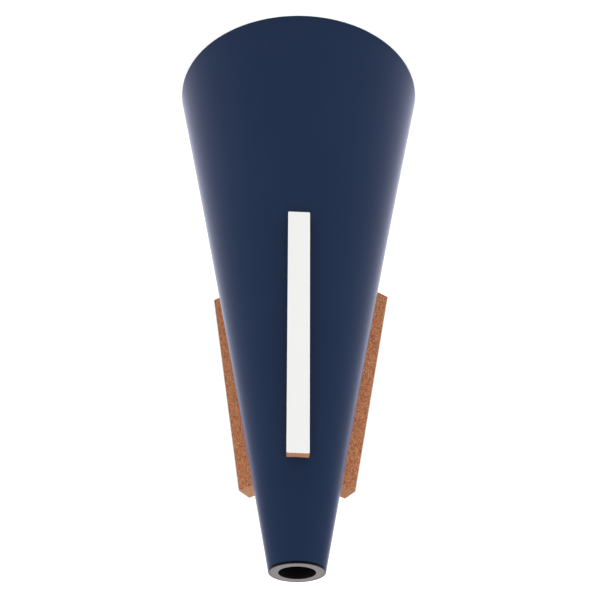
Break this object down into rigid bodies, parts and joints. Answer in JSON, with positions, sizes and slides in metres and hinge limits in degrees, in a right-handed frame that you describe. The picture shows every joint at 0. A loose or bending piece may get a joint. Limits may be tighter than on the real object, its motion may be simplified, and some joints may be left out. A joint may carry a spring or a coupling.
{
  "type": "tuba straight mute",
  "caption": "Conical straight mute for a tuba: a hollow tapered body with a bored neck, a closed wide end and felt-faced cork blocks along its sides that wedge in the bell.",
  "frame": {"origin": "centre of the wide rim's plane, which the mute stands on", "axes": "+Z along the cone's axis from the wide base to the neck, -Y towards the front cork block"},
  "size_m": [0.2884, 0.2884, 0.6],
  "materials": {
    "navy_lacquered_fibre": "satin",
    "navy_lacquered_disc": "satin",
    "grey_fibre": "matte",
    "hoop_wood": "matte",
    "brown_cork": "matte",
    "white_felt": "matte"
  },
  "bodies": {
    "root": {"cone_shell": "navy_lacquered_fibre", "neck_ring": "grey_fibre", "base_disc": "navy_lacquered_disc", "base_hoop": "hoop_wood", "cork_front": "brown_cork", "cork_left": "brown_cork", "cork_right": "brown_cork", "felt_front": "white_felt", "felt_left": "white_felt", "felt_right": "white_felt"}
  },
  "joints": []
}
